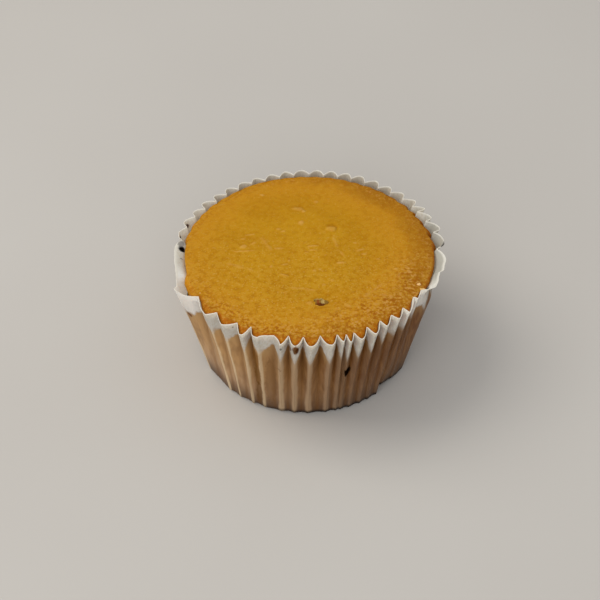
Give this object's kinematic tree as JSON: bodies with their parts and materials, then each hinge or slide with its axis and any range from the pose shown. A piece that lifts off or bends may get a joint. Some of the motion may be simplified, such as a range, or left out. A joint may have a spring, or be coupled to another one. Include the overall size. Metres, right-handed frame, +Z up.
{
  "type": "muffin in a paper case",
  "caption": "Plain round muffin with a low domed golden top, baked in a white pleated paper case that is browned where it touches the cake.",
  "frame": {"origin": "on the floor under the middle of the muffin", "axes": "+Z up; -Y is the front, the side the picture is taken from; +X is the picture's right"},
  "size_m": [0.0699, 0.0699, 0.0316],
  "materials": {
    "case_paper": "thin greaseproof paper, matt off-white at the rim, browned and slightly see-through where it touches the cake",
    "sponge": "baked sponge crust, golden yellow in the middle and orange-brown at the edge, fine pores"
  },
  "bodies": {
    "root": {"paper_case": "case_paper", "cake": "sponge"}
  },
  "joints": []
}
